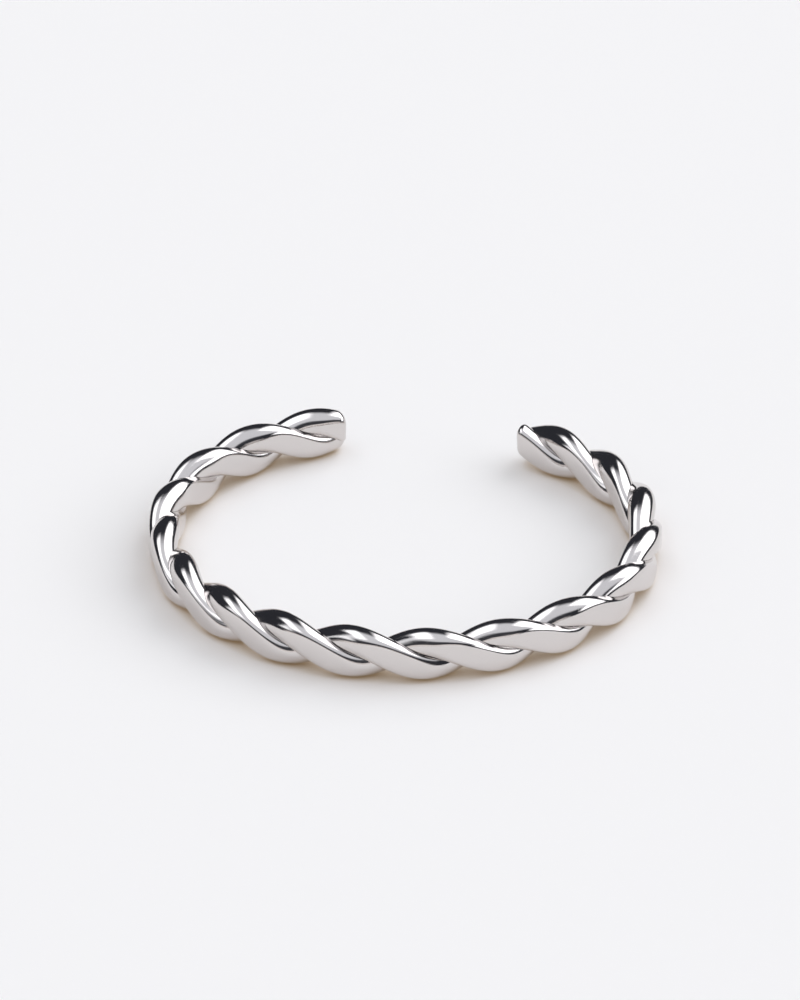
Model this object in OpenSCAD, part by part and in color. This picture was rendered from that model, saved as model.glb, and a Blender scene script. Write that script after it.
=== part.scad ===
// Open cuff of two round strands twisted round each other. The twist is pressed on its inner
// and outer sides and bent to an oval that is open at the back. All lengths are millimetres.
// The cuff lies on its side: X runs from left to right, the opening is at +Y and Z is up.
// The origin is on the axis of the wrist, in the plane that the cuff rests on.

/* [Oval] */
// Inside width of the cuff, from left to right
inner_width = 56.2; // [46:0.1:70]
// Inside depth of the oval, from front to back, as if it were closed
inner_depth = 49.3; // [40:0.1:62]
// How far the four diagonals of the oval are filled out
corner_fill = 0.15; // [0:0.05:1]
// How far the widest part of the oval lies behind its middle
back_shift = 0.3; // [0:0.05:2]

/* [Opening] */
// Angle from the middle of the back to the left tip, seen from the middle of the oval
left_tip_angle = 17.7; // [10:0.1:60]
// Angle from the middle of the back to the right tip
right_tip_angle = 28.2; // [10:0.1:60]

/* [Strands] */
// Diameter of the round wire that each strand starts as
wire_d = 3.7; // [3:0.1:4.6]
// Depth by which the two wires are sunk into each other
wire_sink = 0.9; // [0.4:0.1:1.6]
// Length of the bar in one full turn of the twist
twist_lead = 18.2; // [14:0.1:28]
// Turn of the first strand at the middle of the front, counted from the outer side
twist_start = -6; // [-90:1:90]
// Gap between the two strands where they meet
strand_gap = 0.1; // [0.04:0.01:0.2]

/* [Pressed sides] */
// Thickness of the bar from its inner side to its outer side
bar_thick = 4.1; // [3.2:0.1:4.3]
// How flat the pressed sides are: 2 is an even curve, 12 is nearly a plane
press_flatness = 6; // [2:0.5:12]

/* [Tips] */
// Radius of the polished edge round each cut tip
tip_round = 0.9; // [0.3:0.1:1.4]

/* [Hidden] */

// Steps along the bar, along a strand's round side and over half of its contact face
bar_steps = 170;
round_steps = 14;
contact_steps = 3;
tip_steps = 4;
search_steps = 24;

// Half axes of the oval that the middle of the bar follows
half_width = (inner_width + bar_thick) / 2 - corner_fill;
half_depth = (inner_depth + bar_thick) / 2 + corner_fill;

// The wire's radius, its middle's distance from the bar's middle, and its slant to the bar
wire_r = wire_d / 2;
wire_offset = wire_r - wire_sink / 2;
slant = atan(2 * PI * wire_offset / twist_lead);
bar_height = 2 * (wire_offset + wire_r) + strand_gap;

// Angles of the two tips round the oval, and of the middle of the front between them
left_tip = 90 + left_tip_angle;
front = 270;
right_tip = 450 - right_tip_angle;

// Point of the bar's middle line at an angle round the oval
function oval(a) = [
    half_width * cos(a) + corner_fill * cos(3 * a),
    half_depth * sin(a) + corner_fill * sin(3 * a) + back_shift * cos(2 * a)
];

// Direction of travel along the oval, from the left tip by the front to the right tip
function heading(a) =
    let (ahead = oval(a + 0.01) - oval(a - 0.01))
    ahead / norm(ahead);

// Length along the oval from the left tip, and the angle that belongs to each length
oval_steps = 360;
oval_step = (right_tip - left_tip) / oval_steps;
length_table = [
    for (
        i = 0, a = left_tip, run = 0;
        i <= oval_steps;
        run = run + norm(oval(a + oval_step) - oval(a)), a = a + oval_step, i = i + 1
    )
    [run, a]
];
angle_table = [for (row = length_table) [row[1], row[0]]];
bar_length = length_table[oval_steps][0];
front_length = lookup(front, angle_table);

// Point on a wire's round side, in the plane square to the bar: x away from the bar's middle,
// y the way the strand turns. The wire crosses that plane at a slant, so its sides swing back.
function wire_point(a) =
    let (
        x = wire_offset + wire_r * cos(a),
        y = wire_r * cos(slant) * sin(a),
        swing = 360 * wire_r * sin(slant) * sin(a) / twist_lead
    )
    [x * cos(swing) - y * sin(swing), x * sin(swing) + y * cos(swing)];

// Angle round the wire at which its round side reaches the face where the strands meet
function contact_angle(low = 90, high = 180, tries = search_steps) =
    let (middle = (low + high) / 2)
    tries == 0 ? middle
    : wire_point(middle)[0] > 0 ? contact_angle(middle, high, tries - 1)
    : contact_angle(low, middle, tries - 1);

// One strand's section: its round side, then its contact face through the bar's middle
round_end = contact_angle();
contact_half = wire_point(round_end)[1];
section = concat(
    [for (i = [0:round_steps]) wire_point(round_end * (2 * i / round_steps - 1))],
    [for (i = [1:2 * contact_steps - 1]) [0, contact_half * (1 - i / contact_steps)]]
);
section_size = len(section);
contact_middle = round_steps + contact_steps;

// The press leaves the middle of the bar alone and brings its sides to half the thickness
reach = wire_offset + wire_r;
plate = pow(
    pow((bar_thick - strand_gap) / 2, -press_flatness) - pow(reach, -press_flatness),
    -1 / press_flatness
);
function pressed(u) = u / pow(1 + pow(abs(u) / plate, press_flatness), 1 / press_flatness);

// A section point as [outwards, up] after the strand has turned and the bar is pressed
function turned(p, turn) = [
    pressed(p[0] * cos(turn) - p[1] * sin(turn)),
    -p[0] * sin(turn) - p[1] * cos(turn)
];

// Square to the contact face, on the strand's own side of it
function contact_normal(turn) =
    let (edge = turned([0, contact_half], turn))
    [-edge[1], edge[0]] / norm(edge);

// Lengths along the bar of its rings. The rings of a rounded tip lie on a quarter circle.
tip_angles = [for (i = [0:tip_steps - 1]) 90 * i / tip_steps];
plain_length = bar_length - 2 * tip_round;
rings = concat(
    [for (a = tip_angles) tip_round * (1 - cos(a))],
    [for (i = [0:bar_steps]) tip_round + plain_length * i / bar_steps],
    [for (i = [1:tip_steps]) bar_length - tip_round * (1 - cos(tip_angles[tip_steps - i]))]
);

// Share of the section that is left at a length along the bar: less than 1 on a rounded tip
function tip_share(run) =
    let (
        depth = max(0, tip_round - min(run, bar_length - run)),
        inset = tip_round - sqrt(max(0, tip_round * tip_round - depth * depth))
    )
    1 - inset / reach;

// Corner points of one ring of a strand
function ring(run, start) =
    let (
        angle = lookup(run, length_table),
        middle = oval(angle),
        along = heading(angle),
        out = [along[1], -along[0]],
        turn = start + 360 * (run - front_length) / twist_lead,
        apart = contact_normal(turn) * strand_gap / 2,
        share = tip_share(run)
    )
    [
        for (p = section)
        let (q = turned(p, turn) * share + apart)
        [middle[0] + out[0] * q[0], middle[1] + out[1] * q[0], bar_height / 2 + q[1]]
    ];

// Triangles between two rings. The diagonals of a contact face lean the same way on both sides
// of the bar's middle, so that the two strands' faces run side by side.
function wall_faces(i, j) =
    let (
        a = i * section_size + j,
        b = i * section_size + (j + 1) % section_size,
        c = b + section_size,
        d = a + section_size
    )
    j < contact_middle ? [[a, d, b], [b, d, c]] : [[a, c, b], [a, d, c]];

// Triangles of a cut end, all from the middle of the contact face
function end_faces(first, flip) = [
    for (j = [1:section_size - 2])
    let (
        a = first + contact_middle,
        b = first + (contact_middle + j) % section_size,
        c = first + (contact_middle + j + 1) % section_size
    )
    flip ? [a, c, b] : [a, b, c]
];

// One strand, from tip to tip
module strand(start) {
    last = len(rings) - 1;
    polyhedron(
        points = [for (run = rings) each ring(run, start)],
        faces = concat(
            [for (i = [0:last - 1], j = [0:section_size - 1]) each wall_faces(i, j)],
            end_faces(0, false),
            end_faces(last * section_size, true)
        )
    );
}

module first_strand() {
    color("silver") strand(twist_start);
}

module second_strand() {
    color("lightgray") strand(twist_start + 180);
}

first_strand();
second_strand();
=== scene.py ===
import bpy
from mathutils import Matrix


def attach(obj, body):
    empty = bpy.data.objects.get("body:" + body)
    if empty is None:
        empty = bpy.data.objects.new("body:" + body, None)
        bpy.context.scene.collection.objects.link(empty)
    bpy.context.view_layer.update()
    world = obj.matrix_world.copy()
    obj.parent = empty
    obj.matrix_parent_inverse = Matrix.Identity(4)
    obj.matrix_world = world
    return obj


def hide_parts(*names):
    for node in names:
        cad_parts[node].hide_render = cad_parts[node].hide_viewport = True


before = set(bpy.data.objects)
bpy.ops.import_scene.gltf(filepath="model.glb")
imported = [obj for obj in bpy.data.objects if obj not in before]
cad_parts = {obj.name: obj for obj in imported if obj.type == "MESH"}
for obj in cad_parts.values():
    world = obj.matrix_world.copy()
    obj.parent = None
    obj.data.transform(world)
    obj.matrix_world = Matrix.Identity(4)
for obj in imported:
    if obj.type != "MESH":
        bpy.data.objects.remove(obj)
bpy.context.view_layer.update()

import math

import bmesh
import bpy
import numpy as np
from mathutils import Matrix, Vector

mm = 0.001
fullTurn = 2 * math.pi

# The oval that the middle of the bar follows, in millimetres and degrees
cuff = {
    "insideWidth": 56.2,
    "insideDepth": 49.3,
    "cornerFill": 0.15,       # how far its four diagonals are filled out
    "backShift": 0.3,         # how far its widest part lies behind the middle
    "leftTip": 17.7,          # from the middle of the back to each tip
    "rightTip": 28.2,
    "steps": 6000,
}

# The two round wires, their twist and the press, in millimetres and degrees
strand = {
    "wire": 3.7,              # diameter before the press
    "offset": 1.42,           # wire's middle from the bar's middle, before the press
    "lead": 18.2,             # bar length in one turn
    "start": -4.0,            # turn of the first strand at the middle of the front
    "squeeze": 0.68,          # share of the offset that the press leaves from side to side
    "thick": 4.095,           # the bar from its inner side to its outer side
    "height": 6.6,
    "flatness": 8.0,          # 2 presses an even curve, 12 nearly a plane
    "seam": 0.03,             # hairline gap between the strands
    "tipRound": 0.9,
    "tipKept": 0.2,           # least share of the section that a tip's rounding leaves
    "rings": 900,
    "roundSteps": 96,         # steps of a ring along the wire's round side
    "contactSteps": 8,        # and over the face that it shares with the other wire
    "tipSteps": 8,
    "sharpEdge": 32,          # a steeper edge isn't shaded smooth
}

# How finely the face between the wires is worked out
contactGrid = {"turns": 181, "rounds": 360, "bearings": 721}


def ovalPoint(angle):
    fill = cuff["cornerFill"]
    halfWidth = (cuff["insideWidth"] + strand["thick"]) / 2 - fill
    halfDepth = (cuff["insideDepth"] + strand["thick"]) / 2 + fill
    x = halfWidth * np.cos(angle) + fill * np.cos(3 * angle)
    y = halfDepth * np.sin(angle) + fill * np.sin(3 * angle) + cuff["backShift"] * np.cos(2 * angle)
    return x, y


def layOval():
    # Places and headings along the bar's middle line, from the left tip by the front
    leftEnd = math.radians(90 + cuff["leftTip"])
    front = math.radians(270)
    rightEnd = math.radians(450 - cuff["rightTip"])
    angle = np.linspace(leftEnd, rightEnd, cuff["steps"] + 1)
    x, y = ovalPoint(angle)
    run = np.concatenate([[0], np.cumsum(np.hypot(np.diff(x), np.diff(y)))])
    return {
        "run": run, "x": x, "y": y,
        "headX": np.gradient(x, run), "headY": np.gradient(y, run),
        "length": run[-1], "front": np.interp(front, angle, run),
    }


def wirePoint(around, turn):
    # Point on the wire in the plane square to the bar, as (out, up), before the flats. The wire
    # crosses that plane at a slant, so its sides swing back.
    radius = strand["wire"] / 2
    slant = math.atan(fullTurn * strand["offset"] / strand["lead"])
    away = radius * np.cos(around)
    sideways = radius * math.cos(slant) * np.sin(around)
    swing = fullTurn * radius * math.sin(slant) * np.sin(around) / strand["lead"]
    angle = turn + swing
    out = (away + strand["squeeze"] * strand["offset"]) * np.cos(angle) - sideways * np.sin(angle)
    up = -(away + strand["offset"]) * np.sin(angle) - sideways * np.cos(angle)
    return out, up


def pressFlat(out):
    # The press leaves the middle alone and brings the bar's sides to half its thickness
    half = (strand["thick"] - strand["seam"]) / 2
    reach = strand["squeeze"] * strand["offset"] + strand["wire"] / 2
    power = strand["flatness"]
    plate = (half ** -power - reach ** -power) ** (-1 / power)
    return out / (1 + np.abs(out / plate) ** power) ** (1 / power)


def contactTable():
    # For each turn: where a wire's round side ends at the face that it shares with the other
    # wire, on both sides, and the bearing of that face's own square direction
    turns = np.linspace(0, fullTurn, contactGrid["turns"])
    rounds = np.linspace(0, fullTurn, contactGrid["rounds"], endpoint=False)
    tries = np.linspace(0, math.pi, contactGrid["bearings"])
    laps = [fullTurn * lap for lap in (-2, -1, 0, 1, 2)]
    low, high, square = [], [], []
    for turn in turns:
        out, up = wirePoint(rounds, turn)
        size = np.hypot(out, up)
        bearing = np.unwrap(np.arctan2(up, out))
        way = 1 if bearing[-1] > bearing[0] else -1
        excess = (np.interp(tries, bearing, size, period=fullTurn)
                  - np.interp(tries + math.pi, bearing, size, period=fullTurn))
        cross = np.nonzero(np.diff(np.sign(excess)))[0][0]
        part = excess[cross] / (excess[cross] - excess[cross + 1])
        face = tries[cross] + (tries[1] - tries[0]) * part
        order = np.argsort(way * bearing)
        longBearing = np.concatenate([way * bearing[order] + lap for lap in laps])
        longRound = np.concatenate([rounds[order] + lap for lap in laps])
        ends = [np.interp(way * angle, longBearing, longRound) for angle in (face, face + math.pi)]
        ends = [(end + math.pi) % fullTurn - math.pi for end in ends]
        low.append(-min(ends))
        high.append(max(ends))
        centre = out.mean() * -math.sin(face) + up.mean() * math.cos(face)
        square.append(face + math.pi / 2 * (1 if centre > 0 else -1))
    return {"turn": turns, "low": low, "high": high, "square": np.unwrap(square)}


def straightBar(ringCount):
    # A straight bar of plain rings, with the ring of each corner and its place round that ring
    ringSize = strand["roundSteps"] + strand["contactSteps"]
    bm = bmesh.new()
    bmesh.ops.create_cone(bm, cap_ends=True, segments=ringSize, radius1=1, radius2=1,
                          depth=ringCount - 1)
    lengthwise = [edge for edge in bm.edges if edge.verts[0].co.z * edge.verts[1].co.z < 0]
    bmesh.ops.subdivide_edges(bm, edges=lengthwise, cuts=ringCount - 2)
    corners = np.array([vert.co[:] for vert in bm.verts])
    ring = np.rint(corners[:, 2] + (ringCount - 1) / 2).astype(int)
    bearing = np.degrees(np.arctan2(corners[:, 1], corners[:, 0])) % 360
    place = np.rint(bearing * ringSize / 360).astype(int) % ringSize
    return bm, ring, place


def sectionPoint(place, turn):
    # Pressed section of a strand: its round side, then its contact face, and that face's bearing
    table = contactTable()
    low, high, square = (np.interp(turn % fullTurn, table["turn"], table[name])
                         for name in ("low", "high", "square"))
    onRound = place <= strand["roundSteps"]
    along = place / strand["roundSteps"]
    out, up = wirePoint(np.where(onRound, (high + low) * along - low, 0), turn)
    outHigh, upHigh = wirePoint(high, turn)
    outLow, upLow = wirePoint(-low, turn)
    across = (place - strand["roundSteps"]) / strand["contactSteps"]
    out = np.where(onRound, out, outHigh + (outLow - outHigh) * across)
    up = np.where(onRound, up, upHigh + (upLow - upHigh) * across)
    return pressFlat(out), up, square


def roundTip(out, up, fromTip):
    # Near a tip the section shrinks along a quarter circle
    tip = strand["tipRound"]
    depth = np.maximum(0, tip - fromTip)
    inset = tip - np.sqrt(np.maximum(0, tip ** 2 - depth ** 2))
    size = np.maximum(np.hypot(out, up), 1e-9)
    keep = np.maximum(1 - inset / size, strand["tipKept"])
    return out * keep, up * keep


def drawStrand(name, start):
    oval = layOval()
    tip, length = strand["tipRound"], oval["length"]
    entry = tip * (1 - np.cos(np.arange(strand["tipSteps"]) * math.pi / 2 / strand["tipSteps"]))
    plain = np.linspace(tip, length - tip, strand["rings"])
    runs = np.concatenate([entry, plain, length - entry[::-1]])
    bm, ring, place = straightBar(len(runs))
    run = runs[ring]

    turn = math.radians(start) + fullTurn * (run - oval["front"]) / strand["lead"]
    out, up, square = sectionPoint(place, turn)
    out, up = roundTip(out, up, np.minimum(run, length - run))
    out = out + np.cos(square) * strand["seam"] / 2
    up = up + np.sin(square) * strand["seam"] / 2

    x, y, headX, headY = (np.interp(run, oval["run"], oval[name])
                          for name in ("x", "y", "headX", "headY"))
    px, py, pz = x + headY * out, y - headX * out, strand["height"] / 2 + up
    for vert, spot in zip(bm.verts, np.stack([px, py, pz], axis=1) * mm):
        vert.co = spot
    bmesh.ops.recalc_face_normals(bm, faces=bm.faces)
    if bm.calc_volume(signed=True) < 0:      # both strands face outwards
        bmesh.ops.reverse_faces(bm, faces=bm.faces)
    mesh = bpy.data.meshes.new(name)
    bm.to_mesh(mesh)
    bm.free()
    mesh.shade_smooth()
    mesh.set_sharp_from_angle(angle=math.radians(strand["sharpEdge"]))
    piece = bpy.data.objects.new(name, mesh)
    bpy.context.collection.objects.link(piece)
    return piece


def joined(tree, operation, first, second=None, third=None):
    # A maths node fed by sockets or plain numbers
    node = tree.nodes.new("ShaderNodeMath")
    node.operation = operation
    for socket, value in zip(node.inputs, (first, second, third)):
        if isinstance(value, bpy.types.NodeSocket):
            tree.links.new(value, socket)
        elif value is not None:
            socket.default_value = value
    return node.outputs["Value"]


def mixed(tree, share, first, second):
    # A colour between two, each of them a socket or three numbers
    node = tree.nodes.new("ShaderNodeMix")
    node.data_type = "RGBA"
    tree.links.new(share, node.inputs["Factor"])
    for socket, colour in ((node.inputs["A"], first), (node.inputs["B"], second)):
        if isinstance(colour, bpy.types.NodeSocket):
            tree.links.new(colour, socket)
        else:
            socket.default_value = (*colour, 1)
    return node.outputs["Result"]


def ranged(tree, value, before, after=(0, 1), smooth=False):
    # A value moved from one range to another, and held at its ends
    node = tree.nodes.new("ShaderNodeMapRange")
    node.interpolation_type = "SMOOTHSTEP" if smooth else "LINEAR"
    node.inputs["From Min"].default_value, node.inputs["From Max"].default_value = before
    node.inputs["To Min"].default_value, node.inputs["To Max"].default_value = after
    tree.links.new(value, node.inputs["Value"])
    return node.outputs["Result"]


def noise(tree, place, scale, detail):
    node = tree.nodes.new("ShaderNodeTexNoise")
    node.inputs["Scale"].default_value = scale
    node.inputs["Detail"].default_value = detail
    tree.links.new(place, node.inputs["Vector"])
    return node.outputs["Fac"]


def relief(tree, height, look, below=None):
    # Fine relief, laid over the relief below it
    node = tree.nodes.new("ShaderNodeBump")
    node.inputs["Strength"].default_value = look["strength"]
    node.inputs["Distance"].default_value = look["depth"]
    tree.links.new(height, node.inputs["Height"])
    if below is not None:      # a scratch goes inwards
        node.invert = True
        tree.links.new(below, node.inputs["Normal"])
    return node.outputs["Normal"]


# Polished silver: hand-polished waves, hairline scratches that run several ways, and worn patches.
# Depths are metres, turns are radians, and scales and stretches count noise cells to the metre.
finish = {
    "silver": (0.70, 0.665, 0.65),
    "roughness": (0.06, 0.14),        # freshly polished, most worn
    "waves": {"scale": 420, "detail": 2, "depth": 0.00002, "strength": 0.6},
    "hairlines": (
        {"turn": (0.3, 0.2, 0.5), "stretch": (70, 5200, 5200), "depth": 0.000004, "strength": 0.3},
        {"turn": (0.9, 0.7, 1.9), "stretch": (90, 6000, 6000), "depth": 0.000004, "strength": 0.3},
        {"turn": (0.1, 1.3, 2.7), "stretch": (60, 4500, 4500), "depth": 0.000004, "strength": 0.25},
    ),
    "hairlineDetail": 3,
    "cut": (0.59, 0.655),             # noise values where a scratch starts and is full
    "worn": {"scale": 160, "detail": 4, "scratches": 0.35, "range": (0.42, 0.85)},
}


def silverMaterial():
    material = bpy.data.materials.new("polishedSilver")
    material.use_nodes = True
    tree = material.node_tree
    shader = tree.nodes["Principled BSDF"]
    shader.inputs["Metallic"].default_value = 1
    shader.inputs["Base Color"].default_value = (*finish["silver"], 1)
    place = tree.nodes.new("ShaderNodeTexCoord").outputs["Object"]

    # Slow waves from polishing by hand
    waves = finish["waves"]
    normal = relief(tree, noise(tree, place, waves["scale"], waves["detail"]), waves)

    # Hairline scratches: noise drawn out along one direction and cut to thin lines
    scratched = 0.0
    for line in finish["hairlines"]:
        turned = tree.nodes.new("ShaderNodeMapping")
        turned.inputs["Rotation"].default_value = line["turn"]
        turned.inputs["Scale"].default_value = line["stretch"]
        tree.links.new(place, turned.inputs["Vector"])
        grain = noise(tree, turned.outputs["Vector"], 1, finish["hairlineDetail"])
        groove = ranged(tree, grain, finish["cut"])
        normal = relief(tree, groove, line, below=normal)
        scratched = joined(tree, "ADD", scratched, groove)
    tree.links.new(normal, shader.inputs["Normal"])

    # Worn patches and scratches are a little duller
    worn = finish["worn"]
    patches = noise(tree, place, worn["scale"], worn["detail"])
    dull = joined(tree, "MULTIPLY_ADD", scratched, worn["scratches"], patches)
    roughness = ranged(tree, dull, worn["range"], finish["roughness"])
    tree.links.new(roughness, shader.inputs["Roughness"])
    return material


silver = silverMaterial()
print("made", silver.name)
for node, start in (("first_strand", strand["start"]), ("second_strand", strand["start"] + 180)):
    piece = drawStrand(node + "_polished", start)
    piece.data.materials.append(silver)
    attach(piece, "root")
    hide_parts(node)
    print("made", piece.name, len(piece.data.polygons), "faces")

# Pale board, with painted shade and painted light where the metal nears it: a warm darker tint that
# stands for the contact shadow, and a warm glow that stands for the light the metal throws back
# beside it. Lengths are metres, and a share is how much of the sky is open where the tint starts
# and where it is full.
board = {
    "halfSize": 3,
    "plain": (0.945, 0.93, 0.922),
    # painted contact shadow: the board's colour turns warm tan where little sky is open beside the
    # metal
    "contact": {"tint": (0.60, 0.52, 0.39), "share": (0.5, 0.12)},
    # painted light: the board itself glows warm near the metal, standing for the light that the
    # metal throws back
    "paintedBounceGlow": {"tint": (0.075, 0.042, 0.015), "share": (0.9, 0.25)},
    "reach": 0.006,           # how far from the metal the board is still tinted
    "samples": 8,
    "roughness": 0.9,
    "specular": 0.1,
}


def boardMaterial():
    material = bpy.data.materials.new("paleBoard")
    material.use_nodes = True
    tree = material.node_tree
    shader = tree.nodes["Principled BSDF"]
    shadeAndGlowMask = tree.nodes.new("ShaderNodeAmbientOcclusion")
    shadeAndGlowMask.samples = board["samples"]
    shadeAndGlowMask.inputs["Distance"].default_value = board["reach"]
    unlit = (0, 0, 0)
    # Painted shade and painted light: where occlusion finds the metal near, the board's colour
    # turns tan and the board glows warm
    for far, paintedTint, socket in ((board["plain"], board["contact"], "Base Color"),
                               (unlit, board["paintedBounceGlow"], "Emission Color")):
        share = ranged(tree, shadeAndGlowMask.outputs["AO"], paintedTint["share"])
        tree.links.new(mixed(tree, share, far, paintedTint["tint"]), shader.inputs[socket])
    shader.inputs["Emission Strength"].default_value = 1
    shader.inputs["Roughness"].default_value = board["roughness"]
    shader.inputs["Specular IOR Level"].default_value = board["specular"]
    return material


def layBoard():
    bm = bmesh.new()
    bmesh.ops.create_grid(bm, x_segments=1, y_segments=1, size=board["halfSize"])
    mesh = bpy.data.meshes.new("floor")
    bm.to_mesh(mesh)
    bm.free()
    mesh.materials.append(boardMaterial())
    floor = bpy.data.objects.new("floor", mesh)
    bpy.context.collection.objects.link(floor)


layBoard()
print("laid the floor")

# Camera: the photograph's view, as a distance, an aim and a lens, in metres and degrees
camera = {
    "away": 0.6419,
    "elevation": 31.94,
    "turn": 2.56,             # how far it stands round the cuff, seen from above
    "aim": (-0.00062, 0.01321),
    "aimUp": 0.0001,
    "lens": 180.7,            # millimetres
    "farEnd": 20,
}


def setCamera():
    turned = Matrix.Rotation(math.radians(camera["turn"]), 3, "Z")
    aim = turned @ Vector((*camera["aim"], 0)) + Vector((0, 0, camera["aimUp"]))
    lift = math.radians(camera["elevation"])
    back = turned @ Vector((0, -math.cos(lift), math.sin(lift)))
    data = bpy.data.cameras.new("camera")
    data.lens = camera["lens"]
    data.clip_end = camera["farEnd"]
    view = bpy.data.objects.new("camera", data)
    view.location = aim + back * camera["away"]
    view.rotation_mode = "QUATERNION"
    view.rotation_quaternion = back.to_track_quat("Z", "Y")
    bpy.context.collection.objects.link(view)
    bpy.context.scene.camera = view


setCamera()
print("set the camera")

# Surroundings: soft lit sheets and dark gaps of a studio, each laid over the ones before it. Ranges
# are degrees: side is to the right, pitch is up from level in front of the cuff, so 90 is overhead
# and 180 is level behind it, and height is up from level on every side. Each range is a low end, a
# high end and how soft both are, or how soft the one and the other is.
room = {
    "gap": (0.03, 0.032, 0.04),
    "even": {"colour": (0.825, 0.828, 0.835), "share": 0.55},      # mixed into the floor's light
    "sheets": {
        "frontWall": {"height": (4, 60, 4, 6), "side": (-50, 30, 8), "pitch": (-40, 80, 8),
                      "colour": (0.055, 0.057, 0.066)},
        "lowFront": {"height": (-20, 10, 3), "side": (-62, 34, 8), "pitch": (-40, 100, 8),
                     "colour": (0.86, 0.82, 0.81)},
        "overhead": {"height": (39, 120, 7), "pitch": (-40, 112, 7, 12),
                     "colour": (0.79, 0.815, 0.87)},
        "leftDark": {"side": (-120, -34, 5), "pitch": (85, 190, 8),
                     "colour": (0.03, 0.032, 0.04)},
        "leftSheet": {"height": (22, 120, 5), "side": (-120, -44, 8), "pitch": (-100, 76, 8),
                      "colour": (1.3, 1.34, 1.4)},
        "leftLamp": {"side": (-35, -14, 6), "pitch": (64, 119, 8, 10),
                     "colour": (2.1, 2.15, 2.25)},
        "rightLamp": {"height": (16, 120, 5), "side": (13, 120, 6), "pitch": (92, 153, 6),
                      "colour": (2.6, 2.65, 2.75)},
        "rightSheet": {"height": (15, 120, 5), "side": (52, 120, 6), "pitch": (-40, 153, 6),
                       "colour": (2.6, 2.65, 2.75)},
    },
}


def within(tree, value, low, high, softLow, softHigh=None):
    # 1 inside a range, with a soft rise and fall at its ends
    softHigh = softHigh or softLow
    start = ranged(tree, value, (low - softLow, low + softLow), smooth=True)
    end = ranged(tree, value, (high - softHigh, high + softHigh), smooth=True)
    return joined(tree, "MULTIPLY", start, joined(tree, "SUBTRACT", 1.0, end))


def drawRoom():
    world = bpy.data.worlds.new("studio")
    bpy.context.scene.world = world
    world.use_nodes = True
    tree = world.node_tree
    place = tree.nodes.new("ShaderNodeTexCoord")
    split = tree.nodes.new("ShaderNodeSeparateXYZ")
    tree.links.new(place.outputs["Generated"], split.inputs["Vector"])
    x, y, z = (split.outputs[axis] for axis in "XYZ")
    ahead = joined(tree, "MULTIPLY", y, -1.0)
    angles = {"side": joined(tree, "ARCSINE", x), "pitch": joined(tree, "ARCTAN2", z, ahead),
              "height": joined(tree, "ARCSINE", z)}
    angles = {name: joined(tree, "MULTIPLY", angle, math.degrees(1))
              for name, angle in angles.items()}
    colour = room["gap"]
    for sheet in room["sheets"].values():
        share = 1.0
        for name, angle in angles.items():
            if name in sheet:
                share = joined(tree, "MULTIPLY", share, within(tree, angle, *sheet[name]))
        colour = mixed(tree, share, colour, sheet["colour"])

    # The floor gets a more even light than the metal shows
    path = tree.nodes.new("ShaderNodeLightPath")
    share = joined(tree, "MULTIPLY", path.outputs["Is Diffuse Ray"], room["even"]["share"])
    colour = mixed(tree, share, colour, room["even"]["colour"])
    tree.links.new(colour, tree.nodes["Background"].inputs["Color"])


drawRoom()
print("drew the room,", len(room["sheets"]), "sheets")

# Soft key light from the right and behind, in metres. It isn't seen in the metal.
key = {"towards": (0.45, 0.6, 1.0), "away": 1.3, "size": 0.5, "watts": 0.5}


def hangLight():
    data = bpy.data.lights.new("key", "AREA")
    data.shape = "DISK"
    data.size = key["size"]
    data.energy = key["watts"]
    light = bpy.data.objects.new("key", data)
    towards = Vector(key["towards"]).normalized()
    light.location = towards * key["away"]
    light.rotation_mode = "QUATERNION"
    light.rotation_quaternion = towards.to_track_quat("Z", "Y")
    light.visible_glossy = False
    bpy.context.collection.objects.link(light)


hangLight()
bpy.context.scene.view_settings.view_transform = "Standard"
print("hung the light")
